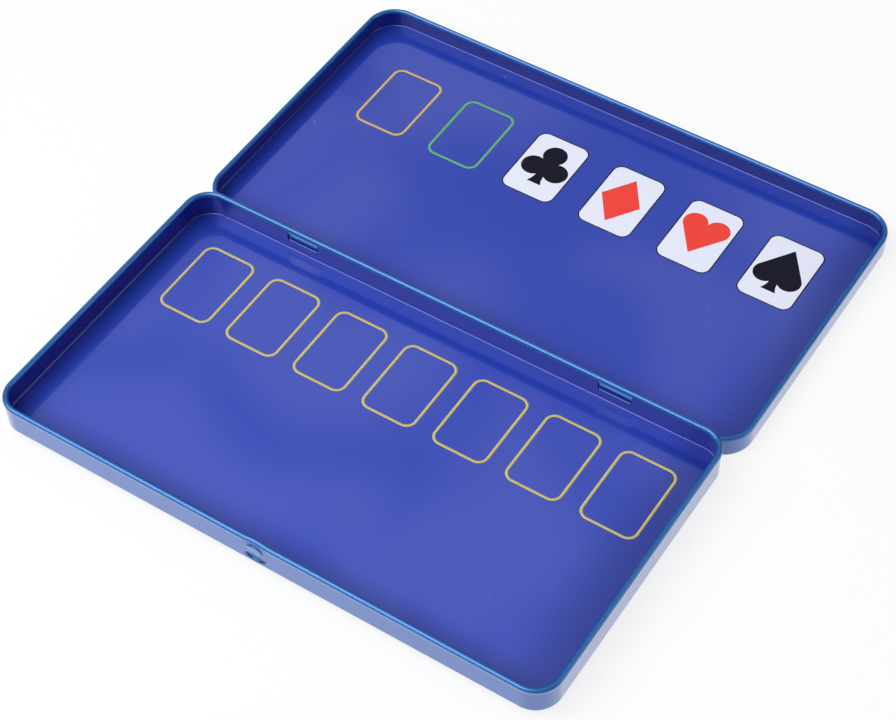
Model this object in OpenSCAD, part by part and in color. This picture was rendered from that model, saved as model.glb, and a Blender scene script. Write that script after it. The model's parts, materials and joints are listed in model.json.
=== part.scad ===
// Flat tinplate card game tin: a base tray and a lid tray, each pressed from one sheet.
// The lid's rolled rim is the hinge pin, and two tongues cut from the base's wall hook round it.
// The tin is drawn lying open, with the hinge along X, the base at -Y and the lid at +Y.

/* [Trays] */
// Length of the base tray along the hinge, over its walls
base_length = 190; // [150:1:230]
// Width of the base tray, from its front wall to its hinge wall
base_width = 103; // [80:1:140]
// Height of the base tray over its rolled rim
base_height = 10.3; // [9.8:0.1:14]
// Height of the lid tray over its rolled rim
lid_height = 7.9; // [7:0.1:8.2]
// Outer radius of the base tray's upright corners
corner_radius = 8.5; // [5:0.5:14]

/* [Sheet metal] */
// Thickness of the tinplate
sheet = 0.3; // [0.22:0.01:0.34]
// Outer radius of the bend between a floor and its walls
floor_bend = 1; // [0.7:0.1:1.4]
// Outer radius of the rolled rims
rim_radius = 0.8; // [0.7:0.05:1]
// Angle that each rim is rolled through
rim_turn = 280; // [240:5:285]

/* [Closing] */
// Clearance between the base tray's walls and the lid's rolled rim
fit_gap = 0.2; // [0.15:0.05:0.4]
// Air between the base's rim and the closed lid's floor
headroom = 1.1; // [0.5:0.1:1.3]

/* [Hinge] */
// Distance from the middle of the tin to the middle of each tongue
tongue_offset = 56.2; // [30:0.1:65]
// Width of each tongue
tongue_width = 10.6; // [6:0.1:16]
// Clearance beside a tongue in its window and in the lid's slot
tongue_side_gap = 0.4; // [0.2:0.05:0.8]
// Inner radius of the fold where a tongue leaves the wall
fold_radius = 0.2; // [0.1:0.05:0.3]
// Running clearance between a tongue's hook and the lid's rim
hook_gap = 0.15; // [0.1:0.05:0.25]
// Angle that a hook reaches round the rim, from its lowest point
hook_turn = 140; // [110:5:150]
// Wall left between a window and the rolled rim above it
window_margin = 0.3; // [0.2:0.1:0.8]
// Length of the lid's slots, measured down from the hinge axis
slot_height = 2; // [1.8:0.1:2.6]

/* [Catch] */
// Width of the oval pip on the base's front wall
pip_width = 5.9; // [4:0.1:8]
// Height of the pip
pip_height = 3.6; // [2.4:0.1:4]
// How far the pip stands out of the wall
pip_depth = 0.35; // [0.2:0.05:0.45]
// Clearance between the pip and the dent in the lid's rim
pip_gap = 0.1; // [0.05:0.05:0.2]
// Width of the fingernail notch below the pip
notch_width = 7.9; // [5:0.1:10]
// Height of the fingernail notch
notch_height = 3; // [2:0.1:3.2]
// How far the fingernail notch is pressed in
notch_depth = 0.7; // [0.4:0.05:0.9]
// Wall left between the closed lid's rim and the notch
notch_margin = 0.3; // [0.1:0.1:0.6]

/* [Hidden] */
$fn = 64;

// The lid is larger by the rim's whole tube and the clearance, on every side
lap = 2 * rim_radius + fit_gap;
lid_length = base_length + 2 * lap;
lid_width = base_width + 2 * lap;
lid_corner = corner_radius + lap;

// The hinge axis runs through the middle of the lid's rolled rim
lid_axis_height = lid_height - rim_radius;
base_axis_height = base_height + headroom + sheet - lid_axis_height;
axis_from_base = fit_gap + rim_radius;

// The tray whose axis is higher stands on the table, and the other hangs in line with it
axis_height = max(lid_axis_height, base_axis_height);
base_level = axis_height - base_axis_height;
lid_level = axis_height - lid_axis_height;

// The origin is midway between the front of the pip and the lid's far wall
overall_width = pip_depth + base_width + fit_gap + lid_width;
base_front = pip_depth - overall_width / 2;
base_back = base_front + base_width;
lid_back = base_back + fit_gap + lid_width;
axis_y = base_back + axis_from_base;

hook_inner = rim_radius + hook_gap;
hook_outer = hook_inner + sheet;
window_width = tongue_width + 2 * tongue_side_gap;
window_top = base_height - 2 * rim_radius - window_margin;
tongue_level = base_axis_height - hook_outer;

// The closed lid's rim lies round the base just below the pip and above the notch
pip_middle = base_axis_height + rim_radius + pip_height / 2;
notch_middle = base_axis_height - rim_radius - notch_margin - notch_height / 2;

// Radius of an arc from its chord and its rise
function arc_radius(chord, rise) = (chord * chord / 4 + rise * rise) / (2 * rise);

// The dent in the lid's far rim follows the pip, and is just deep enough to pass over it
dent_radius = arc_radius(pip_width, pip_depth) + pip_gap;
dent_bottom = lid_back - 2 * rim_radius + pip_depth - fit_gap + pip_gap;

// Wedge from one angle to another, reaching past any bend in the sheet
module wedge(from, to) {
    reach = 20;
    steps = ceil((to - from) / 45);
    rim = [for (i = [0:steps]) reach * [cos(from + (to - from) * i / steps),
                                        sin(from + (to - from) * i / steps)]];
    polygon(concat([[0, 0]], rim));
}

// Sheet bent along an arc, drawn as its cut edge
module bent_sheet(outer, from, to) {
    intersection() {
        difference() {
            circle(r = outer);
            circle(r = outer - sheet);
        }
        wedge(from, to);
    }
}

// Cut through a wall: X = 0 is its outer face and the tray's inside is at -X
module wall_section(height) {
    rim_middle = height - rim_radius;
    translate([-floor_bend, floor_bend]) bent_sheet(floor_bend, -90, 0);
    translate([-sheet, floor_bend]) square([sheet, rim_middle - floor_bend]);
    translate([-rim_radius, rim_middle]) bent_sheet(rim_radius, 0, rim_turn);
}

// Rectangle with round corners, about the origin
module round_rectangle(size, radius) {
    square([size.x - 2 * radius, size.y], center = true);
    square([size.x, size.y - 2 * radius], center = true);
    for (x = [-1, 1], y = [-1, 1])
        translate([x * (size.x / 2 - radius), y * (size.y / 2 - radius)]) circle(r = radius);
}

// Pressed tray standing at z = 0, with the same wall section swept round all four sides
module tray(size, height, radius) {
    straight = [size.x - 2 * radius, size.y - 2 * radius];
    linear_extrude(height = sheet)
        round_rectangle(size - 2 * [floor_bend, floor_bend], radius - floor_bend);
    for (side = [0:3]) {
        across = side % 2 == 0 ? size.x : size.y;
        along = side % 2 == 0 ? straight.y : straight.x;
        rotate([0, 0, 90 * side]) {
            translate([across / 2, 0, 0]) rotate([90, 0, 0])
                linear_extrude(height = along, center = true) wall_section(height);
            translate([across / 2 - radius, along / 2, 0]) rotate_extrude(angle = 90)
                translate([radius, 0]) wall_section(height);
        }
    }
}

// Oval cap that stands out of the plane y = 0 towards -Y, with a root behind that plane
module oval_cap(width, height, rise, root) {
    level_radius = arc_radius(width, rise);
    upright_radius = arc_radius(height, rise);
    intersection() {
        translate([0, level_radius - rise, 0]) rotate([0, 0, 180]) rotate_extrude(angle = 180)
            translate([level_radius - upright_radius, 0]) intersection() {
                circle(r = upright_radius);
                translate([0, -height]) square([upright_radius, 2 * height]);
            }
        translate([-width, -2 * rise, -height]) cube([2 * width, 2 * rise + root, 2 * height]);
    }
}

// The pip pressed out of the base's front wall: its outer face, or the hollow behind it
module pip(hollow) {
    shift = hollow ? sheet : 0;
    translate([0, base_front + shift, pip_middle])
        oval_cap(pip_width, pip_height, pip_depth, sheet / 2);
}

// The notch pressed into the base's front wall: its inner face, or the hollow in front of it
module notch(hollow) {
    shift = hollow ? 0 : sheet;
    translate([0, base_front + shift, notch_middle]) mirror([0, 1, 0])
        oval_cap(notch_width, notch_height, notch_depth, sheet / 2);
}

// Window in the base's hinge wall that a tongue was folded out of
module window() {
    translate([0, base_back, 0]) rotate([90, 0, 0]) linear_extrude(height = 4 * sheet, center = true)
        translate([-window_width / 2, tongue_level - fold_radius])
            square([window_width, window_top - tongue_level + fold_radius]);
}

// Tongue folded out of the base's hinge wall and hooked round the lid's rim
module tongue() {
    rotate([90, 0, 90]) linear_extrude(height = tongue_width, center = true) {
        translate([base_back + fold_radius, tongue_level - fold_radius])
            bent_sheet(fold_radius + sheet, 90, 180);
        translate([base_back + fold_radius, tongue_level])
            square([axis_from_base - fold_radius, sheet]);
        translate([axis_y, base_axis_height]) bent_sheet(hook_outer, -90, hook_turn - 90);
    }
}

// Part of the lid's far rim that a round tool of this radius reaches when it presses the dent
module dent(radius) {
    rim_middle = [lid_back - rim_radius, lid_axis_height];
    intersection() {
        rotate([90, 0, 90]) linear_extrude(height = 2 * pip_width, center = true)
            translate(rim_middle) circle(r = rim_radius);
        translate([0, dent_bottom - dent_radius, lid_axis_height])
            cylinder(r = radius, h = 4 * rim_radius, center = true);
    }
}

module base_tray() {
    color("mediumslateblue") translate([0, 0, base_level]) {
        difference() {
            union() {
                translate([0, (base_front + base_back) / 2, 0])
                    tray([base_length, base_width], base_height, corner_radius);
                pip(hollow = false);
                notch(hollow = false);
            }
            pip(hollow = true);
            notch(hollow = true);
            for (side = [-1, 1]) translate([side * tongue_offset, 0, 0]) window();
        }
        for (side = [-1, 1]) translate([side * tongue_offset, 0, 0]) tongue();
    }
}

module lid_tray() {
    color("royalblue") translate([0, 0, lid_level]) difference() {
        union() {
            translate([0, lid_back - lid_width / 2, 0])
                tray([lid_length, lid_width], lid_height, lid_corner);
            dent(dent_radius + sheet);
        }
        dent(dent_radius);
        for (side = [-1, 1])
            translate([side * tongue_offset, base_back + fit_gap, lid_axis_height - slot_height / 2])
                cube([window_width, 3 * sheet, slot_height], center = true);
    }
}

base_tray();
lid_tray();
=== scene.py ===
import json
import math

import bmesh
import bpy
from mathutils import Matrix, Quaternion, Vector


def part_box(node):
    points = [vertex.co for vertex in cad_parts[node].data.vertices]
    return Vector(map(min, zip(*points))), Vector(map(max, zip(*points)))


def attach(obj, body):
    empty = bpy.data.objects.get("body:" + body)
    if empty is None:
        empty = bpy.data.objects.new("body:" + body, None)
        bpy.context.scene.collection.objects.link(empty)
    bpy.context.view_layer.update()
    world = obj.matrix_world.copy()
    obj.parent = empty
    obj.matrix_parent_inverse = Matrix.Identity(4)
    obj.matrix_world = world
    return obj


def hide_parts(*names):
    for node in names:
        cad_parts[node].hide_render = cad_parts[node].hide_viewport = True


# The tin's frame
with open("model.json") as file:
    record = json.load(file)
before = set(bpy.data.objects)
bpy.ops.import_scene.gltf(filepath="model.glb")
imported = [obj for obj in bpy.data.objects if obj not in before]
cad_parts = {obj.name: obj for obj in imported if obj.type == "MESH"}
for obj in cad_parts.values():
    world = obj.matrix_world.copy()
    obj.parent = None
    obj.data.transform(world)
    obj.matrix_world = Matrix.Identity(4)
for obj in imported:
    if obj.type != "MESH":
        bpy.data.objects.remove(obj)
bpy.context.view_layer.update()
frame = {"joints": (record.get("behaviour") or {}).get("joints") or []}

MM = 0.001
base_low, base_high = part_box("base_tray")
lid_low, lid_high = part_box("lid_tray")
HINGE_AXIS = Vector(frame["joints"][0]["pos_m"]) / MM

# Sheet metal, in millimetres
SHEET = 0.3
FLOOR_BEND = 1.0
RIM_RADIUS = 0.8
RIM_TURN = 280
CORNER_RADIUS = 8.5
BASE_RIM_RADIUS = 0.9
BASE_RIM_PROUD = 0.15
INNER_BEND = 0.45
RIM_STARTS_BELOW_TOP = 1.45
RIM_FULL_BELOW_TOP = 1.0

# Catch and hinge, in millimetres
PIP_WIDTH, PIP_HEIGHT, PIP_DEPTH, PIP_FLANK = 6.4, 3.8, 0.34, 0.6
NOTCH_WIDTH, NOTCH_HEIGHT, NOTCH_DEPTH, NOTCH_FLANK = 8.3, 3.3, 0.7, 0.75
NOTCH_MARGIN = 0.25
PIP_DROP = 0.5
PIP_GAP = 0.1
RIM_SAG = 0.3
SAG_DROP = 0.3
CATCH_MARGIN = 0.6
CATCH_COLUMNS, CATCH_ROWS, DENT_COLUMNS = 56, 64, 32
TONGUE_PLACES = (-56.2, 56.2)
TONGUE_WIDTH = 10.6
TONGUE_SIDE_GAP = 0.4
FOLD_RADIUS = 0.2
HOOK_GAP = 0.15
HOOK_TURN = 140
WINDOW_MARGIN = 0.3
WINDOW_CORNER = 0.3
SLOT_HEIGHT = 2.0
SLOT_CORNER = 0.2

# Sizes that follow from the frame, in millimetres
base_length = (base_high.x - base_low.x) / MM
base_height = (base_high.z - base_low.z) / MM
base_level = base_low.z / MM
lid_length = (lid_high.x - lid_low.x) / MM
lid_width = (lid_high.y - lid_low.y) / MM
lid_height = (lid_high.z - lid_low.z) / MM
lid_level = lid_low.z / MM
lap = (lid_length - base_length) / 2
base_width = lid_width - 2 * lap
fit_gap = lap - 2 * RIM_RADIUS
lid_front = lid_low.y / MM
lid_back = lid_high.y / MM
base_back = lid_front - fit_gap
base_front = base_back - base_width
hook_outer = RIM_RADIUS + HOOK_GAP + SHEET
tongue_level = HINGE_AXIS.z - hook_outer
window_top = base_level + base_height - 2 * RIM_RADIUS - WINDOW_MARGIN
window_width = TONGUE_WIDTH + 2 * TONGUE_SIDE_GAP
pip_middle = HINGE_AXIS.z + RIM_RADIUS + PIP_HEIGHT / 2 - PIP_DROP
notch_middle = pip_middle - (PIP_HEIGHT + NOTCH_HEIGHT) / 2 - NOTCH_MARGIN
sag_levels = (pip_middle + 1.2, HINGE_AXIS.z + 4.6)

# Printing, in millimetres: sizes to the middle of each line
CARD_WIDTH, CARD_HEIGHT, CARD_CORNER = 18.1, 27.3, 3.1
LINE_WIDTH = 0.88
CARD_EDGE_LINE = 0.4
CARD_FACE_WIDTH, CARD_FACE_HEIGHT = 18.5, 27.35
CARD_EDGE_WIDTH, CARD_EDGE_HEIGHT, CARD_EDGE_CORNER = 18.7, 27.55, 3.2
FRONT_COUNT, FRONT_PITCH = 7, 25.07
FRONT_FIRST = Vector((-74.0, -28.4))
BACK_PITCH = 28.55
BACK_FIRST = Vector((-69.7, 72.4))
CARD_FACE_LIFT = Vector((0, 0.1))
INK = 0.02
FACE_INK_LOW, FACE_INK_HIGH, SUIT_INK_HIGH = -0.01, 0.012, 0.024

# Sweep settings, in metres
JOIN_DISTANCE = 1.5e-5


def new_object(name, mesh):
    piece = bpy.data.objects.new(name, mesh)
    bpy.context.scene.collection.objects.link(piece)
    return piece


# Node helpers

def add_node(tree, kind, **settings):
    node = tree.nodes.new(kind)
    for key, value in settings.items():
        setattr(node, key, value)
    return node


def feed(tree, node, **inputs):
    """Sets or links a node's inputs: words in a socket's name are joined by underscores."""
    for key, value in inputs.items():
        socket = node.inputs[key.replace("_", " ")]
        if isinstance(value, bpy.types.NodeSocket):
            tree.links.new(value, socket)
        else:
            socket.default_value = value


def math_node(tree, operation, first, second=0.0, clamp=False):
    node = add_node(tree, "ShaderNodeMath", operation=operation, use_clamp=clamp)
    for socket, value in zip(node.inputs, (first, second)):
        if isinstance(value, bpy.types.NodeSocket):
            tree.links.new(value, socket)
        else:
            socket.default_value = value
    return node.outputs[0]


def mix_colour(tree, factor, first, second):
    node = add_node(tree, "ShaderNodeMix", data_type="RGBA")
    for socket, value in zip((node.inputs[0], node.inputs[6], node.inputs[7]), (factor, first, second)):
        if isinstance(value, bpy.types.NodeSocket):
            tree.links.new(value, socket)
        else:
            socket.default_value = value
    return node.outputs[2]


def linear(red, green, blue):
    """Linear colour from one that is read off a screen, with channels from 0 to 255."""
    def channel(value):
        share = value / 255
        return share / 12.92 if share <= 0.04045 else ((share + 0.055) / 1.055) ** 2.4
    return (channel(red), channel(green), channel(blue), 1.0)


# Shader groups

SPECKS_LEFT_OUT, SCUFFS_LEFT_OUT = 0.965, 0.95
SCUFF_REACH = 0.035


def make_group(name, sockets_in, sockets_out):
    group = bpy.data.node_groups.new(name, "ShaderNodeTree")
    for label, kind, value in sockets_in:
        socket = group.interface.new_socket(label, in_out="INPUT", socket_type=kind)
        socket.default_value = value
    for label, kind in sockets_out:
        group.interface.new_socket(label, in_out="OUTPUT", socket_type=kind)
    return group, add_node(group, "NodeGroupInput"), add_node(group, "NodeGroupOutput")


def lacquer_surface_group():
    """Fine unevenness of roller-coated lacquer on rolled tinplate: a mottle, a grain mask and a normal."""
    group, inner, outer = make_group(
        "lacquer_surface",
        [("Mottle Size", "NodeSocketFloat", 900.0), ("Wave Height", "NodeSocketFloat", 0.1)],
        [("Mottle", "NodeSocketFloat"), ("Normal", "NodeSocketVector")],
    )
    place = add_node(group, "ShaderNodeTexCoord").outputs["Object"]
    mottle = add_node(group, "ShaderNodeTexNoise")
    feed(group, mottle, Vector=place, Scale=inner.outputs["Mottle Size"], Detail=3.0, Roughness=0.6)
    wave = add_node(group, "ShaderNodeTexNoise")
    feed(group, wave, Vector=place, Scale=45.0, Detail=2.0, Roughness=0.5)
    grain = add_node(group, "ShaderNodeTexNoise")
    feed(group, grain, Vector=place, Scale=1400.0, Detail=2.0, Roughness=0.6)
    height = math_node(group, "ADD", math_node(group, "MULTIPLY", grain.outputs[0], 0.02), wave.outputs[0])
    bump = add_node(group, "ShaderNodeBump")
    feed(group, bump, Strength=inner.outputs["Wave Height"], Distance=0.0004, Height=height)
    feed(group, outer, Mottle=mottle.outputs[0], Normal=bump.outputs[0])
    return group


def dust_group():
    """Masks for settled dust specks and for small dark scuffs."""
    group, inner, outer = make_group(
        "dust_and_scuffs",
        [("Speck Scale", "NodeSocketFloat", 260.0), ("Speck Limit", "NodeSocketFloat", 0.06)],
        [("Specks", "NodeSocketFloat"), ("Scuffs", "NodeSocketFloat")],
    )
    place = add_node(group, "ShaderNodeTexCoord").outputs["Object"]
    cells = add_node(group, "ShaderNodeTexVoronoi")
    feed(group, cells, Vector=place, Scale=inner.outputs["Speck Scale"])
    near = math_node(group, "LESS_THAN", cells.outputs["Distance"], inner.outputs["Speck Limit"])
    chosen = add_node(group, "ShaderNodeSeparateColor")
    feed(group, chosen, Color=cells.outputs["Color"])
    few = math_node(group, "GREATER_THAN", chosen.outputs[0], SPECKS_LEFT_OUT)
    patches = add_node(group, "ShaderNodeTexNoise")
    feed(group, patches, Vector=place, Scale=30.0, Detail=2.0)
    uneven = math_node(group, "GREATER_THAN", patches.outputs[0], 0.5)
    scuff_cells = add_node(group, "ShaderNodeTexVoronoi")
    feed(group, scuff_cells, Vector=place, Scale=95.0)
    scuff_near = math_node(group, "LESS_THAN", scuff_cells.outputs["Distance"], SCUFF_REACH)
    scuff_few = add_node(group, "ShaderNodeSeparateColor")
    feed(group, scuff_few, Color=scuff_cells.outputs["Color"])
    scuff_chosen = math_node(group, "GREATER_THAN", scuff_few.outputs[1], SCUFFS_LEFT_OUT)
    scuffs = math_node(group, "MULTIPLY", scuff_near, scuff_chosen)
    specks = math_node(group, "MULTIPLY", math_node(group, "MULTIPLY", near, few), uneven)
    feed(group, outer, Specks=specks, Scuffs=scuffs)
    return group


def painted_wall_shade_group():
    """Painted shade on the inside lacquer towards the right and the front wall: 1 at a wall, 0 away from it.
    """
    group, inner, outer = make_group(
        "edge_painted_shade",
        [("Right", "NodeSocketFloat", 0.095), ("Front", "NodeSocketFloat", -0.104),
         ("Right Reach", "NodeSocketFloat", 0.024), ("Front Reach", "NodeSocketFloat", 0.016)],
        [("Fade", "NodeSocketFloat")],
    )
    place = add_node(group, "ShaderNodeSeparateXYZ")
    feed(group, place, Vector=add_node(group, "ShaderNodeTexCoord").outputs["Object"])
    squares = []
    from_right = math_node(group, "SUBTRACT", inner.outputs["Right"], place.outputs["X"])
    from_front = math_node(group, "SUBTRACT", place.outputs["Y"], inner.outputs["Front"])
    for distance, reach in ((from_right, "Right Reach"), (from_front, "Front Reach")):
        share = math_node(group, "DIVIDE", distance, inner.outputs[reach])
        near = math_node(group, "MAXIMUM", math_node(group, "SUBTRACT", 1.0, share), 0.0)
        squares.append(math_node(group, "MULTIPLY", near, near))
    total = math_node(group, "SQRT", math_node(group, "ADD", squares[0], squares[1]))
    smooth = add_node(group, "ShaderNodeMapRange", interpolation_type="SMOOTHSTEP")
    feed(group, smooth, Value=total, From_Min=0.0, From_Max=0.85)
    feed(group, outer, Fade=smooth.outputs[0])
    return group


SURFACE = lacquer_surface_group()
EDGE_SHADE_GROUP = painted_wall_shade_group()
DUST = dust_group()


def new_material(name):
    material = bpy.data.materials.new(name)
    material.use_nodes = True
    tree = material.node_tree
    shader = tree.nodes["Principled BSDF"]
    return material, tree, shader


def place_group(tree, group, **inputs):
    node = add_node(tree, "ShaderNodeGroup", node_tree=group)
    feed(tree, node, **inputs)
    return node


def range_node(tree, value, low_value, high_value):
    """Smooth rise from 0 to 1 between two values, or a fall where the first is the higher."""
    node = add_node(tree, "ShaderNodeMapRange", interpolation_type="SMOOTHSTEP")
    feed(tree, node, Value=value, From_Min=low_value, From_Max=high_value)
    return node.outputs[0]


def weaker(tree, mask, share):
    """1 where a mask is 0, less by a share where it is 1."""
    return math_node(tree, "SUBTRACT", 1.0, math_node(tree, "MULTIPLY", mask, share))


def surface_mark(tree, name):
    """A value that is written on the piece's own points."""
    return add_node(tree, "ShaderNodeAttribute", attribute_name=name).outputs["Fac"]


def tinted(tree, mask, share, first, second):
    """The first colour, passing to the second by a share where a mask is 1."""
    return mix_colour(tree, math_node(tree, "MULTIPLY", mask, share), first, second)


def darker(colour, share):
    """A share of a colour's own brightness."""
    return [channel * share for channel in colour[:3]] + [1.0]


def lacquer(name, colour, other_colour, dust_colour, roughness, metallic, coat_roughness, wave, gloss,
            inside=None):
    """Translucent coloured lacquer on bright tinplate, under a clear gloss varnish. It also paints highlights
    on the rim and the pressings' middles, and shade on their flanks and, inside, near the walls.
    """
    material, tree, shader = new_material(name)
    surface = place_group(tree, SURFACE, Wave_Height=wave)
    dust = place_group(tree, DUST)
    paint = mix_colour(tree, surface.outputs["Mottle"], colour, other_colour)
    paint = tinted(tree, dust.outputs["Specks"], SPECK_STRENGTH, paint, dust_colour)
    paint = tinted(tree, dust.outputs["Scuffs"], SCUFF_STRENGTH, paint, SCUFF)
    uneven = math_node(tree, "MULTIPLY", surface.outputs["Mottle"], UNEVENNESS)
    rough = math_node(tree, "ADD", uneven, roughness - UNEVENNESS / 2)
    rim = surface_mark(tree, "rim")
    flank = surface_mark(tree, "flank")
    # A paler cyan painted on the rolled rim as highlight.
    paint = tinted(tree, rim, RIM_TINT, paint, RIM_PAINTED_HIGHLIGHT)
    # Painted highlight on the level middle of the pip and the notch.
    paint = tinted(tree, surface_mark(tree, "plateau"), PLATEAU_TINT, paint, PLATEAU_PAINTED_HIGHLIGHT)
    # Painted shade on the pressings' flanks, whose coat is also dulled.
    paint = mix_colour(tree, flank, paint, darker(colour, FLANK_PAINTED_SHADE))
    coat = math_node(tree, "MULTIPLY", weaker(tree, rim, RIM_DULLING), weaker(tree, flank, FLANK_DULLING))
    metal = math_node(tree, "ADD", math_node(tree, "MULTIPLY", rim, RIM_EXTRA_METAL), metallic)
    if inside:
        paint, coat = paint_shade_at_walls(tree, colour, paint, coat, **inside)
    feed(tree, shader, Base_Color=paint, Roughness=rough, Metallic=metal, IOR=1.5, Coat_Weight=coat,
         Coat_Roughness=coat_roughness, Coat_IOR=gloss, Normal=surface.outputs["Normal"])
    return material


def paint_shade_at_walls(tree, colour, paint, coat, right, front, reach, rear_wall_shade_share):
    """Painted shade: darker colour and a duller coat near the right and front walls and on the rear wall, and
    a darker blue painted on the left wall.
    """
    wall_shade_node = place_group(tree, EDGE_SHADE_GROUP, Right=right * MM, Front=front * MM, Right_Reach=reach * MM)
    floor_edge_shade = wall_shade_node.outputs["Fade"]
    facing = add_node(tree, "ShaderNodeSeparateXYZ")
    feed(tree, facing, Vector=add_node(tree, "ShaderNodeTexCoord").outputs["Normal"])
    rear_wall_shade = range_node(tree, facing.outputs["Y"], -TURNS_TO_WALL, -IS_WALL)
    left_wall_shade = range_node(tree, facing.outputs["X"], TURNS_TO_WALL, IS_WALL)
    # Painted shade near the walls: the coat is dulled, the colour darkened, and the left wall painted a
    # darker blue.
    coat = math_node(tree, "MULTIPLY", coat, weaker(tree, floor_edge_shade, FLOOR_EDGE_DULLING))
    coat = math_node(tree, "MULTIPLY", coat, weaker(tree, rear_wall_shade, rear_wall_shade_share / 2))
    paint = mix_colour(tree, floor_edge_shade, paint, darker(colour, FLOOR_EDGE_PAINTED_SHADE))
    paint = mix_colour(tree, rear_wall_shade, paint, darker(colour, 1 - rear_wall_shade_share))
    paint = mix_colour(tree, left_wall_shade, paint, LEFT_WALL_PAINTED_SHADE)
    return paint, coat


def ink(name, colour, roughness=0.5):
    """Opaque ink, printed flat over the varnish, with a dull silk surface."""
    material, tree, shader = new_material(name)
    surface = place_group(tree, SURFACE, Wave_Height=0.12, Mottle_Size=1600.0)
    dust = place_group(tree, DUST)
    mottled = mix_colour(tree, surface.outputs["Mottle"], colour, darker(colour, 0.9))
    specked = tinted(tree, dust.outputs["Scuffs"], SCUFF_STRENGTH, mottled, INK_SCUFF)
    feed(tree, shader, Base_Color=specked, Roughness=roughness, Specular_IOR_Level=0.12,
         Normal=surface.outputs["Normal"])
    return material


def cut_edge_tin(name):
    """Bright cut edge of the tinplate, which has no lacquer."""
    material, tree, shader = new_material(name)
    grain = place_group(tree, SURFACE, Wave_Height=0.1, Mottle_Size=2500.0)
    tin = mix_colour(tree, grain.outputs["Mottle"], linear(150, 155, 165), linear(185, 190, 200))
    feed(tree, shader, Base_Color=tin, Metallic=1.0, Roughness=0.35, Normal=grain.outputs["Normal"])
    return material


SCUFF = linear(12, 14, 60)
INK_SCUFF = linear(60, 60, 80)
# Paler cyan painted on the rolled rim as highlight.
RIM_PAINTED_HIGHLIGHT = linear(16, 104, 172)
# Paler cyan painted on the pressings' level middles as highlight.
PLATEAU_PAINTED_HIGHLIGHT = linear(60, 150, 215)
# Darker blue painted on the inner left wall as shade.
LEFT_WALL_PAINTED_SHADE = linear(34, 34, 160)
SPECK_STRENGTH, SCUFF_STRENGTH = 0.6, 0.5
UNEVENNESS = 0.08
# Share of the painted rim highlight, the rim's coat dulling and its extra metal.
RIM_TINT, RIM_DULLING, RIM_EXTRA_METAL = 0.7, 0.42, 0.1
PLATEAU_TINT = 0.4
# Painted shade and coat dulling on the pressings' flanks.
FLANK_PAINTED_SHADE, FLANK_DULLING = 0.35, 0.85
# Painted shade near the right and front walls: the colour's share and the coat's dulling.
FLOOR_EDGE_PAINTED_SHADE, FLOOR_EDGE_DULLING = 0.68, 0.52
TURNS_TO_WALL, IS_WALL = 0.3, 0.9
INSIDE = dict(colour=linear(33, 62, 182), other_colour=linear(36, 66, 188), dust_colour=linear(190, 195, 215),
              roughness=0.35, metallic=0.3, coat_roughness=0.06, wave=0.14, gloss=1.5)
# Each tray's inside lacquer paints shade near its right and front walls and on its rear wall.
BASE_INSIDE = lacquer("base_inside_lacquer", **INSIDE, inside=dict(
    right=base_length / 2, front=base_front, reach=24, rear_wall_shade_share=0.26))
LID_INSIDE = lacquer("lid_inside_lacquer", **INSIDE, inside=dict(
    right=lid_length / 2, front=lid_front, reach=20, rear_wall_shade_share=0.46))
OUTSIDE = lacquer("outside_lacquer", colour=linear(8, 86, 176), other_colour=linear(12, 92, 182),
                  dust_colour=linear(200, 210, 230), roughness=0.3, metallic=0.3, coat_roughness=0.1,
                  wave=0.1, gloss=1.55)
BARE_TIN = cut_edge_tin("cut_tin_edge")
YELLOW_INK = ink("yellow_ink", linear(208, 194, 116))
GOLD_INK = ink("gold_ink", linear(222, 186, 110))
GREEN_INK = ink("green_ink", linear(104, 188, 118))
WHITE_INK = ink("white_ink", linear(234, 238, 255))
BLACK_INK = ink("black_ink", linear(24, 24, 40))
RED_INK = ink("red_ink", linear(244, 74, 64))


# Sweep of a tray's wall section round its outline

def arc(middle, radius, start, end, steps):
    """Points along an arc in degrees, from the first to the last."""
    angles = [math.radians(start + (end - start) * i / steps) for i in range(steps + 1)]
    return [Vector((middle[0] + radius * math.cos(a), middle[1] + radius * math.sin(a))) for a in angles]


def smooth_step(value, low, high):
    share = min(max((value - low) / (high - low), 0.0), 1.0)
    return share * share * (3 - 2 * share)


def wall_sides(height, radius, proud):
    """The sheet's outer and inner face in cut view.

    X is outwards from the wall's outer face and Y is up.
    """
    rim_middle = (proud - radius, height - radius)
    joint = -math.degrees(math.acos(1 - proud / radius))
    joint_level = height - radius + radius * math.sin(math.radians(joint))
    wall_steps = 30

    def wall_line(inset, first_level, last_level):
        return [Vector((-inset, first_level + (last_level - first_level) * i / wall_steps))
                for i in range(1, wall_steps)]

    outer = arc((-FLOOR_BEND, FLOOR_BEND), FLOOR_BEND, -90, 0, 10)
    outer += wall_line(0, FLOOR_BEND, joint_level)
    outer += arc(rim_middle, radius, joint * 0.8, RIM_TURN, 48)
    inner = [outer[-1]] + arc(rim_middle, radius - SHEET, RIM_TURN, joint, 36)
    inner += wall_line(SHEET, SHEET + INNER_BEND, joint_level)[::-1]
    inner += arc((-SHEET - INNER_BEND, SHEET + INNER_BEND), INNER_BEND, 0, -90, 8)
    inner.append(Vector((-FLOOR_BEND, SHEET)))
    return outer, inner


def section_curve(name, points):
    curve = bpy.data.curves.new(name, "CURVE")
    curve.dimensions = "3D"
    spline = curve.splines.new("POLY")
    spline.points.add(len(points) - 1)
    for target, point in zip(spline.points, points):
        target.co = (point.x * MM, -point.y * MM, 0, 1)
    return new_object(name, curve)


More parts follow.
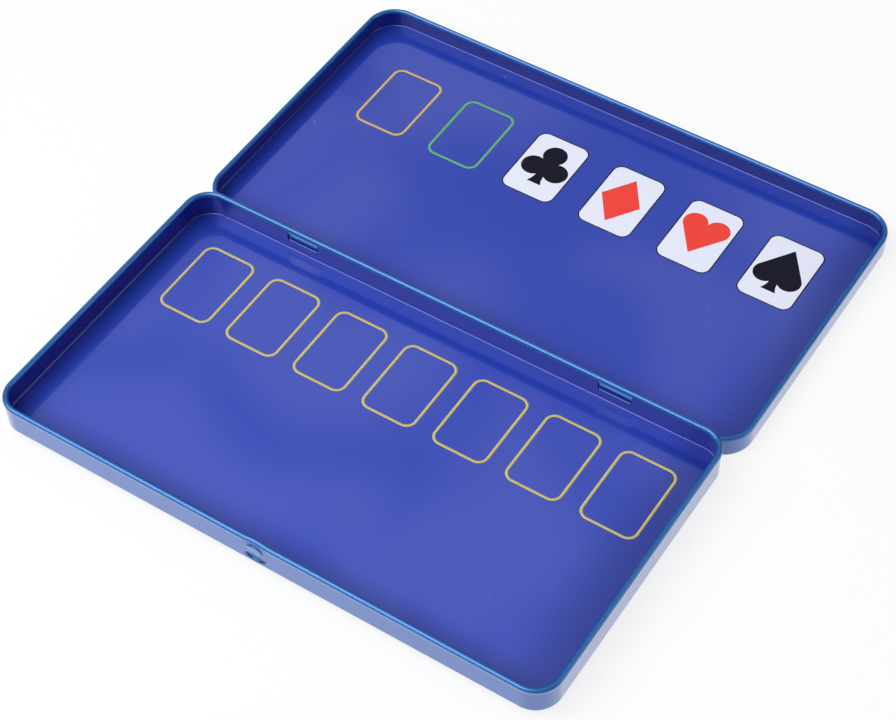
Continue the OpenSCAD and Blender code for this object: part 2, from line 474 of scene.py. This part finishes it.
def geometry_tree(name, inputs):
    tree = bpy.data.node_groups.new(name, "GeometryNodeTree")
    tree.interface.new_socket("Geometry", in_out="INPUT", socket_type="NodeSocketGeometry")
    for label, kind in inputs:
        tree.interface.new_socket(label, in_out="INPUT", socket_type=kind)
    tree.interface.new_socket("Geometry", in_out="OUTPUT", socket_type="NodeSocketGeometry")
    return tree, add_node(tree, "NodeGroupInput"), add_node(tree, "NodeGroupOutput")


def tray_tree():
    """Sweeps the two faces of a wall section round a tray's outline and closes its floor."""
    tree, inner, outer = geometry_tree("pressed_tray", [
        ("Length", "NodeSocketFloat"), ("Width", "NodeSocketFloat"),
        ("Corner Radius", "NodeSocketFloat"),
        ("Floor Bend", "NodeSocketFloat"), ("Sheet", "NodeSocketFloat"),
        ("Outer Face", "NodeSocketObject"), ("Inner Face", "NodeSocketObject"),
        ("Outside Lacquer", "NodeSocketMaterial"), ("Inside Lacquer", "NodeSocketMaterial"),
    ])
    size = inner.outputs

    def outline(inset):
        box = add_node(tree, "GeometryNodeCurvePrimitiveQuadrilateral")
        length = math_node(tree, "SUBTRACT", size["Length"], math_node(tree, "MULTIPLY", inset, 2.0))
        width = math_node(tree, "SUBTRACT", size["Width"], math_node(tree, "MULTIPLY", inset, 2.0))
        feed(tree, box, Width=length, Height=width)
        fillet = add_node(tree, "GeometryNodeFilletCurve", mode="POLY")
        feed(tree, fillet, Curve=box.outputs[0], Count=28,
             Radius=math_node(tree, "SUBTRACT", size["Corner Radius"], inset))
        upright = add_node(tree, "GeometryNodeSetCurveNormal", mode="Z_UP")
        feed(tree, upright, Curve=fillet.outputs[0])
        return upright.outputs[0]

    def swept(face, material):
        info = add_node(tree, "GeometryNodeObjectInfo", transform_space="ORIGINAL")
        feed(tree, info, Object=size[face])
        sweep = add_node(tree, "GeometryNodeCurveToMesh")
        feed(tree, sweep, Curve=outline(0.0), Profile_Curve=info.outputs["Geometry"])
        painted = add_node(tree, "GeometryNodeSetMaterial")
        feed(tree, painted, Geometry=sweep.outputs[0], Material=size[material])
        return painted.outputs[0]

    def panel(level, material):
        fill = add_node(tree, "GeometryNodeFillCurve", mode="NGONS")
        feed(tree, fill, Curve=outline(size["Floor Bend"]))
        lifted = add_node(tree, "GeometryNodeTransform")
        place = add_node(tree, "ShaderNodeCombineXYZ")
        feed(tree, place, Z=level)
        feed(tree, lifted, Geometry=fill.outputs[0], Translation=place.outputs[0])
        painted = add_node(tree, "GeometryNodeSetMaterial")
        feed(tree, painted, Geometry=lifted.outputs[0], Material=size[material])
        return painted.outputs[0]

    joined = add_node(tree, "GeometryNodeJoinGeometry")
    for part in (swept("Outer Face", "Outside Lacquer"), swept("Inner Face", "Inside Lacquer"),
                 panel(0.0, "Outside Lacquer"), panel(size["Sheet"], "Inside Lacquer")):
        tree.links.new(part, joined.inputs[0])
    merged = add_node(tree, "GeometryNodeMergeByDistance")
    feed(tree, merged, Geometry=joined.outputs[0], Distance=JOIN_DISTANCE)
    real = add_node(tree, "GeometryNodeRealizeInstances")
    feed(tree, real, Geometry=merged.outputs[0])
    tree.links.new(real.outputs[0], outer.inputs[0])
    return tree


def run_tree(name, tree, **inputs):
    """Plain mesh object from a geometry tree, with its inputs set by their sockets' names in the tree."""
    carrier = new_object(name + "_carrier", bpy.data.meshes.new(name + "_carrier"))
    modifier = carrier.modifiers.new("shape", "NODES")
    modifier.node_group = tree
    inputs_of_tree = [item for item in tree.interface.items_tree if item.in_out == "INPUT"]
    sockets = {item.name: item.identifier for item in inputs_of_tree}
    for key, value in inputs.items():
        modifier[sockets[key.replace("_", " ")]] = value
    depsgraph = bpy.context.evaluated_depsgraph_get()
    mesh = bpy.data.meshes.new_from_object(carrier.evaluated_get(depsgraph), depsgraph=depsgraph)
    mesh.name = name
    bpy.data.objects.remove(carrier)
    return new_object(name, mesh)


PRESSED_TRAY = tray_tree()


def mark_rim(body, height):
    """Writes how far each point belongs to the rolled rim, where the stretched varnish is duller and a paler
    cyan is painted on as highlight.
    """
    rim = body.verts.layers.float.new("rim")
    for v in body.verts:
        v[rim] = smooth_step(v.co.z / MM, height - RIM_STARTS_BELOW_TOP, height - RIM_FULL_BELOW_TOP)


def pressed_tray(name, length, width, height, radius, middle, rim, inside):
    """Tray swept about the origin, turned the right way out and set in its place."""
    outer, inner = wall_sides(height, *rim)
    faces = [section_curve(name + "_outer_face", outer), section_curve(name + "_inner_face", inner)]
    piece = run_tree(name, PRESSED_TRAY, Length=length * MM, Width=width * MM, Corner_Radius=radius * MM,
                     Floor_Bend=FLOOR_BEND * MM, Sheet=SHEET * MM, Outer_Face=faces[0], Inner_Face=faces[1],
                     Outside_Lacquer=OUTSIDE, Inside_Lacquer=inside)
    for face in faces:
        bpy.data.objects.remove(face)
    body = bmesh.new()
    body.from_mesh(piece.data)
    bmesh.ops.remove_doubles(body, verts=body.verts, dist=JOIN_DISTANCE)
    bmesh.ops.recalc_face_normals(body, faces=body.faces)
    mark_rim(body, height)
    bmesh.ops.translate(body, verts=body.verts, vec=Vector(middle) * MM)
    body.to_mesh(piece.data)
    body.free()
    return piece


# Pressed, cut and folded details of the two trays

def arc_radius(chord, rise):
    return (chord * chord / 4 + rise * rise) / (2 * rise)


def pressed_height(across, up, width, height, depth, flank):
    """How far an oval pressing stands out of its wall: a level middle with rounded flanks."""
    reach = math.hypot(across / (width / 2), up / (height / 2))
    return depth * smooth_step((1 - reach) * height / 2, 0.0, flank)


def cut_strips(body, low, high, across, steps):
    """Divides the faces inside a box by evenly spaced planes square to one axis."""
    normal = Vector([float(i == across) for i in range(3)])
    for i in range(steps + 1):
        at = low[across] + (high[across] - low[across]) * i / steps
        faces = []
        for f in body.faces:
            middle = f.calc_center_median() / MM
            if all(low[k] < middle[k] < high[k] or k == across for k in range(3)):
                faces.append(f)
        around = {e for f in faces for e in f.edges} | {v for f in faces for v in f.verts}
        bmesh.ops.bisect_plane(body, geom=faces + list(around), dist=1e-7, plane_co=normal * at * MM,
                               plane_no=normal)


def press_catch(piece):
    """Presses the oval pip out of the base's front wall, the fingernail notch into it and the rim's sag.

    Each pressing's flank and its level middle are written on its points, where the lacquer paints shade on
    the flanks and a highlight on the level middle.
    """
    half = NOTCH_WIDTH / 2 + CATCH_MARGIN
    rim_inside = base_front + 2 * RIM_RADIUS
    rim_bottom = base_level + base_height - 2 * RIM_RADIUS
    body = bmesh.new()
    body.from_mesh(piece.data)
    flank = body.verts.layers.float.new("flank")
    plateau = body.verts.layers.float.new("plateau")
    low = (-half, base_front - 1, base_level - 1)
    high = (half, rim_inside, base_level + base_height)
    cut_strips(body, low, high, 0, CATCH_COLUMNS)
    cut_strips(body, low, (half, base_front + 0.9, rim_bottom + 0.3), 2, CATCH_ROWS)
    for v in body.verts:
        x, y, z = v.co / MM
        if y > rim_inside + 0.1 or abs(x) > half:
            continue
        if y < base_front + FLOOR_BEND:
            out = pressed_height(x, z - pip_middle, PIP_WIDTH, PIP_HEIGHT, PIP_DEPTH, PIP_FLANK)
            into = pressed_height(x, z - notch_middle, NOTCH_WIDTH, NOTCH_HEIGHT, NOTCH_DEPTH, NOTCH_FLANK)
            shares = (out / PIP_DEPTH, into / NOTCH_DEPTH)
            v[flank] = max((4 * share * (1 - share)) ** 2 for share in shares)
            v[plateau] = max(shares) ** 2
            v.co.y += (into - out) * MM
        near_middle = 1 - smooth_step(abs(x), 0.5, half)
        near_rim = smooth_step(z, *sag_levels)
        sag = RIM_SAG * near_middle * near_rim
        v.co.y += sag * MM
        v.co.z -= sag * SAG_DROP * MM
    body.to_mesh(piece.data)
    body.free()


def press_dent(piece):
    """Presses the inner side of the lid's far rim back where it passes over the pip."""
    radius = arc_radius(PIP_WIDTH, PIP_DEPTH) + PIP_GAP
    bottom = lid_back - 2 * RIM_RADIUS + PIP_DEPTH - fit_gap + PIP_GAP
    body = bmesh.new()
    body.from_mesh(piece.data)
    half = PIP_WIDTH / 2 + 1
    cut_strips(body, (-half, lid_back - 2 * RIM_RADIUS - 0.1, lid_level + 2),
               (half, lid_back + 1, lid_level + lid_height + 1), 0, DENT_COLUMNS)
    middle = Vector((lid_back - RIM_RADIUS, HINGE_AXIS.z))
    for v in body.verts:
        x, y, z = v.co / MM
        if abs(x) > radius or y < lid_back - 2 * RIM_RADIUS - 0.1:
            continue
        from_middle = (Vector((y, z)) - middle).length
        if from_middle > RIM_RADIUS + 0.05 or y > middle.x:
            continue
        depth = 0.0 if from_middle > RIM_RADIUS - SHEET / 2 else SHEET
        face = bottom - radius + math.sqrt(radius ** 2 - x ** 2) + depth
        v.co.y = max(y, face) * MM
    body.to_mesh(piece.data)
    body.free()


def prism(name, outline, start, end, along="X"):
    """Closed solid from a flat outline.

    The outline is drawn in Y and Z and run along X, or drawn in X and Y and run up Z.
    """
    body = bmesh.new()

    def place(point, level):
        if along == "X":
            return level * MM, point[0] * MM, point[1] * MM
        return point[0] * MM, point[1] * MM, level * MM

    rings = [[body.verts.new(place(point, level)) for point in outline] for level in (start, end)]
    body.faces.new(reversed(rings[0]))
    body.faces.new(rings[1])
    for i in range(len(outline)):
        j = (i + 1) % len(outline)
        body.faces.new((rings[0][i], rings[0][j], rings[1][j], rings[1][i]))
    bmesh.ops.recalc_face_normals(body, faces=body.faces)
    mesh = bpy.data.meshes.new(name)
    body.to_mesh(mesh)
    body.free()
    return new_object(name, mesh)


def rounded(width, height, radius, steps=8, middle=(0, 0)):
    """Outline of a rectangle with round corners."""
    points = []
    for i, (sx, sy) in enumerate(((1, 1), (-1, 1), (-1, -1), (1, -1))):
        corner = (middle[0] + sx * (width / 2 - radius), middle[1] + sy * (height / 2 - radius))
        points += arc(corner, radius, 90 * i, 90 * i + 90, steps)
    return points


def apply_modifiers(piece):
    depsgraph = bpy.context.evaluated_depsgraph_get()
    mesh = bpy.data.meshes.new_from_object(piece.evaluated_get(depsgraph), depsgraph=depsgraph)
    piece.modifiers.clear()
    old = piece.data
    piece.data = mesh
    bpy.data.meshes.remove(old)


def cut_away(piece, cutters):
    for cutter in cutters:
        modifier = piece.modifiers.new("cut", "BOOLEAN")
        modifier.object = cutter
        modifier.operation = "DIFFERENCE"
        modifier.solver = "EXACT"
    apply_modifiers(piece)
    for cutter in cutters:
        bpy.data.objects.remove(cutter)


def wall_cutter(name, width, low_z, high_z, y, thickness, radius):
    """Upright cutter for a hole through a wall that faces along Y, with round corners."""
    outline = rounded(width, high_z - low_z, radius, 5, (0, (low_z + high_z) / 2))
    body = bmesh.new()
    rings = [[body.verts.new((p[0] * MM, (y + side * thickness / 2) * MM, p[1] * MM)) for p in outline]
             for side in (-1, 1)]
    body.faces.new(rings[0])
    body.faces.new(reversed(rings[1]))
    for i in range(len(outline)):
        j = (i + 1) % len(outline)
        body.faces.new((rings[0][i], rings[1][i], rings[1][j], rings[0][j]))
    bmesh.ops.recalc_face_normals(body, faces=body.faces)
    mesh = bpy.data.meshes.new(name)
    body.to_mesh(mesh)
    body.free()
    return new_object(name, mesh)


def shifted(piece, x):
    piece.data.transform(Matrix.Translation((x * MM, 0, 0)))
    return piece


def tongue(name):
    """Tongue folded out of the window, run under the lid's rim and hooked round it."""
    fold = (base_back + FOLD_RADIUS, tongue_level - FOLD_RADIUS)
    axis = (HINGE_AXIS.y, HINGE_AXIS.z)
    hook_inner = hook_outer - SHEET
    under = arc(fold, FOLD_RADIUS, 180, 90, 8) + arc(axis, hook_outer, -90, HOOK_TURN - 90, 28)
    upper = arc(fold, FOLD_RADIUS + SHEET, 180, 90, 8) + arc(axis, hook_inner, -90, HOOK_TURN - 90, 28)
    piece = prism(name, under + upper[::-1], -TONGUE_WIDTH / 2, TONGUE_WIDTH / 2)
    piece.data.materials.append(OUTSIDE)
    piece.data.materials.append(BASE_INSIDE)
    piece.data.materials.append(BARE_TIN)
    hook_end = piece.data.polygons[len(under) + 1]
    hook_end.material_index = 2
    for face in piece.data.polygons:
        middle = face.center / MM
        inwards = (Vector((middle.y, middle.z)) - Vector(axis)).length < hook_outer - SHEET * 0.7
        on_run = middle.y < HINGE_AXIS.y and face.normal.z > 0.1
        if abs(face.normal.x) < 0.5 and (inwards or on_run) and face.material_index == 0:
            face.material_index = 1
    return piece


def join_into(piece, others):
    """Adds other meshes to a piece's own, keeping their materials."""
    for other in others:
        for material in other.data.materials:
            if material.name not in piece.data.materials:
                piece.data.materials.append(material)
        indices = [piece.data.materials.find(m.name) for m in other.data.materials]
        body = bmesh.new()
        body.from_mesh(piece.data)
        first = len(body.faces)
        body.from_mesh(other.data)
        body.faces.ensure_lookup_table()
        for face in body.faces[first:]:
            face.material_index = indices[face.material_index]
        body.to_mesh(piece.data)
        body.free()
        bpy.data.objects.remove(other)


def finish_metal(piece):
    """Smooth shading that keeps flats flat and cut edges sharp."""
    piece.data.shade_smooth()
    piece.data.set_sharp_from_angle(angle=math.radians(35))
    modifier = piece.modifiers.new("flat_faces", "WEIGHTED_NORMAL")
    modifier.keep_sharp = True
    modifier.weight = 100


def make_base_shell():
    piece = pressed_tray("base_shell", base_length, base_width, base_height, CORNER_RADIUS,
                         (0, (base_front + base_back) / 2, base_level), (BASE_RIM_RADIUS, BASE_RIM_PROUD),
                         BASE_INSIDE)
    press_catch(piece)
    windows = [wall_cutter("window_cutter", window_width, tongue_level - FOLD_RADIUS, window_top,
                           base_back, 4 * SHEET, WINDOW_CORNER) for x in TONGUE_PLACES]
    cut_away(piece, [shifted(window, x) for window, x in zip(windows, TONGUE_PLACES)])
    join_into(piece, [shifted(tongue("tongue"), x) for x in TONGUE_PLACES])
    finish_metal(piece)
    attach(piece, "base")
    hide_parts("base_tray")
    return piece


def make_lid_shell():
    piece = pressed_tray("lid_shell", lid_length, lid_width, lid_height, CORNER_RADIUS + lap,
                         (0, (lid_front + lid_back) / 2, lid_level), (RIM_RADIUS, 0.0), LID_INSIDE)
    press_dent(piece)
    slots = [wall_cutter("slot_cutter", window_width, HINGE_AXIS.z - SLOT_HEIGHT, HINGE_AXIS.z,
                         lid_front, 3 * SHEET, SLOT_CORNER) for x in TONGUE_PLACES]
    cut_away(piece, [shifted(slot, x) for slot, x in zip(slots, TONGUE_PLACES)])
    finish_metal(piece)
    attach(piece, "lid")
    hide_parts("lid_tray")
    return piece


# Printing

def outline_row_tree():
    """Row of rounded card outlines, each a thin line of ink."""
    tree, inner, outer = geometry_tree("card_outline_row", [
        ("Count", "NodeSocketInt"), ("Pitch", "NodeSocketFloat"),
        ("Card Width", "NodeSocketFloat"), ("Card Height", "NodeSocketFloat"),
        ("Corner Radius", "NodeSocketFloat"), ("Line Width", "NodeSocketFloat"),
        ("Ink Depth", "NodeSocketFloat"), ("First Place", "NodeSocketVector"), ("Ink", "NodeSocketMaterial"),
    ])
    size = inner.outputs
    card = add_node(tree, "GeometryNodeCurvePrimitiveQuadrilateral")
    feed(tree, card, Width=size["Card Width"], Height=size["Card Height"])
    fillet = add_node(tree, "GeometryNodeFilletCurve", mode="POLY")
    feed(tree, fillet, Curve=card.outputs[0], Count=12, Radius=size["Corner Radius"])
    upright = add_node(tree, "GeometryNodeSetCurveNormal", mode="Z_UP")
    feed(tree, upright, Curve=fillet.outputs[0])
    line = add_node(tree, "GeometryNodeCurvePrimitiveQuadrilateral")
    feed(tree, line, Width=size["Line Width"], Height=size["Ink Depth"])
    sweep = add_node(tree, "GeometryNodeCurveToMesh")
    feed(tree, sweep, Curve=upright.outputs[0], Profile_Curve=line.outputs[0])
    row = add_node(tree, "GeometryNodeMeshLine")
    step = add_node(tree, "ShaderNodeCombineXYZ")
    feed(tree, step, X=size["Pitch"])
    feed(tree, row, Count=size["Count"], Start_Location=size["First Place"], Offset=step.outputs[0])
    copies = add_node(tree, "GeometryNodeInstanceOnPoints")
    feed(tree, copies, Points=row.outputs[0], Instance=sweep.outputs[0])
    real = add_node(tree, "GeometryNodeRealizeInstances")
    feed(tree, real, Geometry=copies.outputs[0])
    painted = add_node(tree, "GeometryNodeSetMaterial")
    feed(tree, painted, Geometry=real.outputs[0], Material=size["Ink"])
    tree.links.new(painted.outputs[0], outer.inputs[0])
    return tree


CARD_OUTLINE_ROW = outline_row_tree()
BASE_FLOOR = base_level + SHEET
LID_FLOOR = lid_level + SHEET


def face_outwards(piece):
    """Turns every face of a closed piece outwards."""
    body = bmesh.new()
    body.from_mesh(piece.data)
    bmesh.ops.recalc_face_normals(body, faces=body.faces)
    body.to_mesh(piece.data)
    body.free()


def outline_row(name, body, count, pitch, first, floor, width, height, corner, line, material):
    """Row of printed card outlines on a tray's floor."""
    ink_middle = floor + INK * 0.2
    piece = run_tree(name, CARD_OUTLINE_ROW, Count=count, Pitch=pitch * MM, Card_Width=width * MM,
                     Card_Height=height * MM, Corner_Radius=corner * MM, Line_Width=line * MM,
                     Ink_Depth=INK * MM, First_Place=(first.x * MM, first.y * MM, ink_middle * MM),
                     Ink=material)
    face_outwards(piece)
    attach(piece, body)
    return piece


def film(name, outline, middle, low_z, high_z, material):
    """Flat patch of ink on the lid's floor."""
    places = [(middle.x + point[0], middle.y + point[1]) for point in outline]
    piece = prism(name, places, low_z, high_z, along="Z")
    piece.data.materials.append(material)
    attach(piece, "lid")
    return piece


def mirrored(points):
    """The points followed by their mirror images across X = 0, in reverse order."""
    return points + [Vector((-point[0], point[1])) for point in reversed(points)]


def bow(start, control, end, steps=10):
    """Quadratic curve between two points."""
    shares = [i / steps for i in range(steps + 1)]
    return [(1 - t) ** 2 * start + 2 * t * (1 - t) * control + t * t * end for t in shares]


def tangent_angle(point, middle, radius, side):
    """Angle, seen from a circle's middle, of the place where a line from the point touches it."""
    away = point - middle
    return math.degrees(math.atan2(away.y, away.x) + side * math.acos(radius / away.length))


def stem(top_y, foot_y, waist, foot):
    """Right-hand edge of a suit's stem, from its top to its foot."""
    return bow(Vector((waist, top_y)), Vector((waist, (top_y + foot_y) / 2)), Vector((foot, foot_y)))


def club_outline():
    top, top_radius = Vector((0, 5.85)), 4.08
    side, side_radius = Vector((4.15, -0.98)), 4.12
    waist, foot, foot_y = 1.45, 2.5, -7.95
    apart = side - top
    along = (apart.length_squared + top_radius ** 2 - side_radius ** 2) / (2 * apart.length)
    across = math.sqrt(top_radius ** 2 - along ** 2)
    meet = top + apart.normalized() * along + Vector((-apart.y, apart.x)).normalized() * across
    up_angle = math.degrees(math.atan2(meet.y - top.y, meet.x - top.x))
    side_angle = math.degrees(math.atan2(meet.y - side.y, meet.x - side.x))
    low = math.degrees(math.acos((waist - side.x) / side_radius))
    right = arc(top, top_radius, 90, up_angle, 24) + arc(side, side_radius, side_angle, -low, 48)
    join_y = side.y - side_radius * math.sin(math.radians(low))
    return mirrored(right[:-1] + stem(join_y, foot_y, waist, foot))


def diamond_outline():
    half_width, half_height = 7.05, 10.2
    corners = ((0, half_height), (half_width, 0), (0, -half_height), (-half_width, 0))
    return [Vector(corner) for corner in corners]


def heart_outline():
    lobe, radius, tip = Vector((3.99, 4.5)), 4.08, Vector((0, -7.95))
    start = math.degrees(math.acos(-lobe.x / radius))
    end = tangent_angle(tip, lobe, radius, 1)
    return mirrored(arc(lobe, radius, start, end, 48) + [tip])


def spade_outline():
    lobe, radius, tip = Vector((4.2, -2.45)), 3.9, Vector((0, 10.2))
    waist, foot, foot_y = 1.45, 2.6, -8.85
    start = tangent_angle(tip, lobe, radius, -1)
    low = math.degrees(math.acos((waist - lobe.x) / radius))
    join_y = lobe.y - radius * math.sin(math.radians(low))
    lobe_edge = arc(lobe, radius, start, -low, 48)
    return mirrored([tip] + lobe_edge[:-1] + stem(join_y, foot_y, waist, foot))


SUITS = [
    ("club", club_outline, BLACK_INK, Vector((0.15, 0.0))),
    ("diamond", diamond_outline, RED_INK, Vector((-0.45, 0.05))),
    ("heart", heart_outline, RED_INK, Vector((-0.15, 0.0))),
    ("spade", spade_outline, BLACK_INK, Vector((-0.05, 0.0))),
]


def tidy_outline(points):
    """The outline without repeated neighbours."""
    kept = []
    for point in points:
        if not kept or (Vector(point) - Vector(kept[-1])).length > 1e-4:
            kept.append(point)
    if (Vector(kept[0]) - Vector(kept[-1])).length < 1e-4:
        kept.pop()
    return kept


def print_base_floor():
    outline_row("front_card_outlines", "base", FRONT_COUNT, FRONT_PITCH, FRONT_FIRST, BASE_FLOOR,
                CARD_WIDTH, CARD_HEIGHT, CARD_CORNER, LINE_WIDTH, YELLOW_INK)


def print_lid_floor():
    outlines = (("gold_card_outline", GOLD_INK), ("green_card_outline", GREEN_INK))
    for place, (name, material) in enumerate(outlines):
        first = BACK_FIRST + Vector((place * BACK_PITCH, 0))
        outline_row(name, "lid", 1, BACK_PITCH, first, LID_FLOOR, CARD_WIDTH, CARD_HEIGHT, CARD_CORNER,
                    LINE_WIDTH, material)
    face = rounded(CARD_FACE_WIDTH, CARD_FACE_HEIGHT, CARD_CORNER, 12)
    face_low, face_high = LID_FLOOR + FACE_INK_LOW, LID_FLOOR + FACE_INK_HIGH
    suit_high = LID_FLOOR + SUIT_INK_HIGH
    first = BACK_FIRST + Vector((len(outlines) * BACK_PITCH, 0)) + CARD_FACE_LIFT
    for place, (name, outline, material, shift) in enumerate(SUITS):
        middle = first + Vector((place * BACK_PITCH, 0))
        film("card_face_" + name, face, middle, face_low, face_high, WHITE_INK)
        film("suit_" + name, tidy_outline(outline()), middle + shift, LID_FLOOR, suit_high, material)
    outline_row("card_face_edges", "lid", len(SUITS), BACK_PITCH, first, LID_FLOOR, CARD_EDGE_WIDTH,
                CARD_EDGE_HEIGHT, CARD_EDGE_CORNER, CARD_EDGE_LINE, BLACK_INK)


# Studio

def seen_in_gloss_or_glass(tree):
    """1 for the rays that carry the white surroundings into gloss and glass."""
    seen = add_node(tree, "ShaderNodeLightPath")
    return math_node(tree, "MAXIMUM", seen.outputs["Is Glossy Ray"], seen.outputs["Is Transmission Ray"])


def make_stage():
    """Plain white table. It keeps a pale shadow and shows white wherever the light reaches it."""
    body = bmesh.new()
    bmesh.ops.create_grid(body, x_segments=4, y_segments=4, size=TABLE_SIZE / 2)
    mesh = bpy.data.meshes.new("table")
    body.to_mesh(mesh)
    body.free()
    table = new_object("table", mesh)
    material, tree, shader = new_material("white_table")
    grain = place_group(tree, SURFACE, Wave_Height=0.02, Mottle_Size=300.0)
    white = mix_colour(tree, grain.outputs["Mottle"], (0.88, 0.88, 0.88, 1), (0.9, 0.9, 0.9, 1))
    feed(tree, shader, Base_Color=white, Roughness=0.9, Specular_IOR_Level=0.1)
    camera_ray = add_node(tree, "ShaderNodeLightPath").outputs["Is Camera Ray"]
    reflected = seen_in_gloss_or_glass(tree)
    seen = math_node(tree, "MAXIMUM", camera_ray, reflected)
    sheen = math_node(tree, "MULTIPLY", reflected, TABLE_SHEEN)
    glow = add_node(tree, "ShaderNodeEmission")
    feed(tree, glow, Color=(1, 1, 1, 1), Strength=math_node(tree, "ADD", sheen, 1.0))
    choice = add_node(tree, "ShaderNodeMixShader")
    tree.links.new(math_node(tree, "MULTIPLY", seen, TABLE_GLOW), choice.inputs[0])
    tree.links.new(shader.outputs[0], choice.inputs[1])
    tree.links.new(glow.outputs[0], choice.inputs[2])
    tree.links.new(choice.outputs[0], tree.nodes["Material Output"].inputs[0])
    table.data.materials.append(material)


def softbox(name, place, size, brightness):
    """Square lamp turned to the frame's origin, whose face is as bright as a white of that strength."""
    lamp = bpy.data.lights.new(name, "AREA")
    lamp.shape = "SQUARE"
    lamp.size = size
    lamp.energy = brightness * math.pi * size * size
    holder = bpy.data.objects.new(name, lamp)
    holder.location = place
    holder.rotation_mode = "QUATERNION"
    holder.rotation_quaternion = (-Vector(place)).to_track_quat("-Z", "Y")
    bpy.context.scene.collection.objects.link(holder)
    holder.visible_camera = False
    return holder


def hung_sheet(tree, way):
    """Brightness of a creased white sheet over the table, which shows as soft patches in the gloss."""
    around = add_node(tree, "ShaderNodeTexCoord").outputs["Generated"]
    steep = math_node(tree, "MAXIMUM", way.outputs["Z"], 0.05)
    level = add_node(tree, "ShaderNodeVectorMath", operation="SCALE")
    feed(tree, level, Vector=around, Scale=math_node(tree, "DIVIDE", 1.0, steep))
    place = add_node(tree, "ShaderNodeSeparateXYZ")
    feed(tree, place, Vector=level.outputs[0])
    creases = add_node(tree, "ShaderNodeTexNoise", noise_dimensions="2D")
    feed(tree, creases, Vector=level.outputs[0], Scale=CREASE_SCALE, Detail=1.0, Distortion=0.6)
    sheet = math_node(tree, "MULTIPLY", range_node(tree, creases.outputs[0], 0.35, 0.62), SHEET_LIGHT)
    for axis, outside, inside in SHEET_EDGES:
        sheet = math_node(tree, "MULTIPLY", sheet, range_node(tree, place.outputs[axis], outside, inside))
    return sheet


def make_room():
    """Dim room with a paler ceiling and the hung sheet. Its backdrop shows white."""
    world = bpy.data.worlds.new("studio")
    world.use_nodes = True
    tree = world.node_tree
    way = add_node(tree, "ShaderNodeSeparateXYZ")
    feed(tree, way, Vector=add_node(tree, "ShaderNodeTexCoord").outputs["Generated"])
    height = math_node(tree, "MAXIMUM", way.outputs["Z"], 0.0)
    ceiling = math_node(tree, "MULTIPLY", math_node(tree, "MULTIPLY", height, height), CEILING_LIGHT)
    plain = math_node(tree, "ADD", ceiling, ROOM_LIGHT)
    room = math_node(tree, "ADD", plain, hung_sheet(tree, way))
    low = range_node(tree, way.outputs["Z"], BACKDROP_TOP, BACKDROP_TOP / 3)
    reflected = math_node(tree, "MULTIPLY", seen_in_gloss_or_glass(tree), low)
    camera_ray = add_node(tree, "ShaderNodeLightPath").outputs["Is Camera Ray"]
    seen = math_node(tree, "MAXIMUM", camera_ray, reflected)
    backdrop = math_node(tree, "MULTIPLY", seen, math_node(tree, "SUBTRACT", 1.0, room))
    feed(tree, tree.nodes["Background"], Color=(1, 1, 1, 1), Strength=math_node(tree, "ADD", room, backdrop))
    bpy.context.scene.world = world


def make_camera():
    data = bpy.data.cameras.new("camera")
    camera = bpy.data.objects.new("camera", data)
    bpy.context.scene.collection.objects.link(camera)
    azimuth, elevation = math.radians(CAMERA_AZIMUTH), math.radians(CAMERA_ELEVATION)
    back = Vector((math.sin(azimuth) * math.cos(elevation), -math.cos(azimuth) * math.cos(elevation),
                   math.sin(elevation)))
    data.lens = CAMERA_LENS
    data.sensor_width = CAMERA_SENSOR
    data.clip_start = 0.01
    camera.location = CAMERA_AIM * MM + back * CAMERA_DISTANCE * MM
    camera.rotation_mode = "QUATERNION"
    level = (-back).to_track_quat("-Z", "Y")
    camera.rotation_quaternion = level @ Quaternion((0, 0, 1), math.radians(CAMERA_ROLL))
    bpy.context.scene.camera = camera


# The photograph's view, in millimetres and degrees
CAMERA_AIM = Vector((4.29, -12.22, 0.0))
CAMERA_DISTANCE = 679.2
CAMERA_AZIMUTH, CAMERA_ELEVATION, CAMERA_ROLL = 33.88, 50.67, -1.333
CAMERA_LENS, CAMERA_SENSOR = 90.17, 36

# Studio, in metres. A brightness of 1 is white.
TABLE_SIZE = 6.0
TABLE_GLOW = 0.82
TABLE_SHEEN = 0.15
KEY_PLACE, KEY_SIZE, KEY_BRIGHTNESS = (-0.36, -0.42, 0.79), 1.0, 3.3
SIDE_PLACE, SIDE_SIZE, SIDE_BRIGHTNESS = (0.75, 0.3, 0.38), 0.5, 1.25
ROOM_LIGHT = 0.05
CEILING_LIGHT = 0.5
SHEET_LIGHT = 0.6
CREASE_SCALE = 8.0
SHEET_EDGES = (("X", -0.95, -0.8), ("X", 0.0, -0.15), ("Y", 0.3, 0.4), ("Y", 1.3, 1.1))
BACKDROP_TOP = 0.12

make_base_shell()
make_lid_shell()
print_base_floor()
print_lid_floor()
make_stage()
softbox("key_softbox", KEY_PLACE, KEY_SIZE, KEY_BRIGHTNESS)
softbox("side_softbox", SIDE_PLACE, SIDE_SIZE, SIDE_BRIGHTNESS)
make_room()
make_camera()
bpy.context.scene.view_settings.view_transform = "Standard"
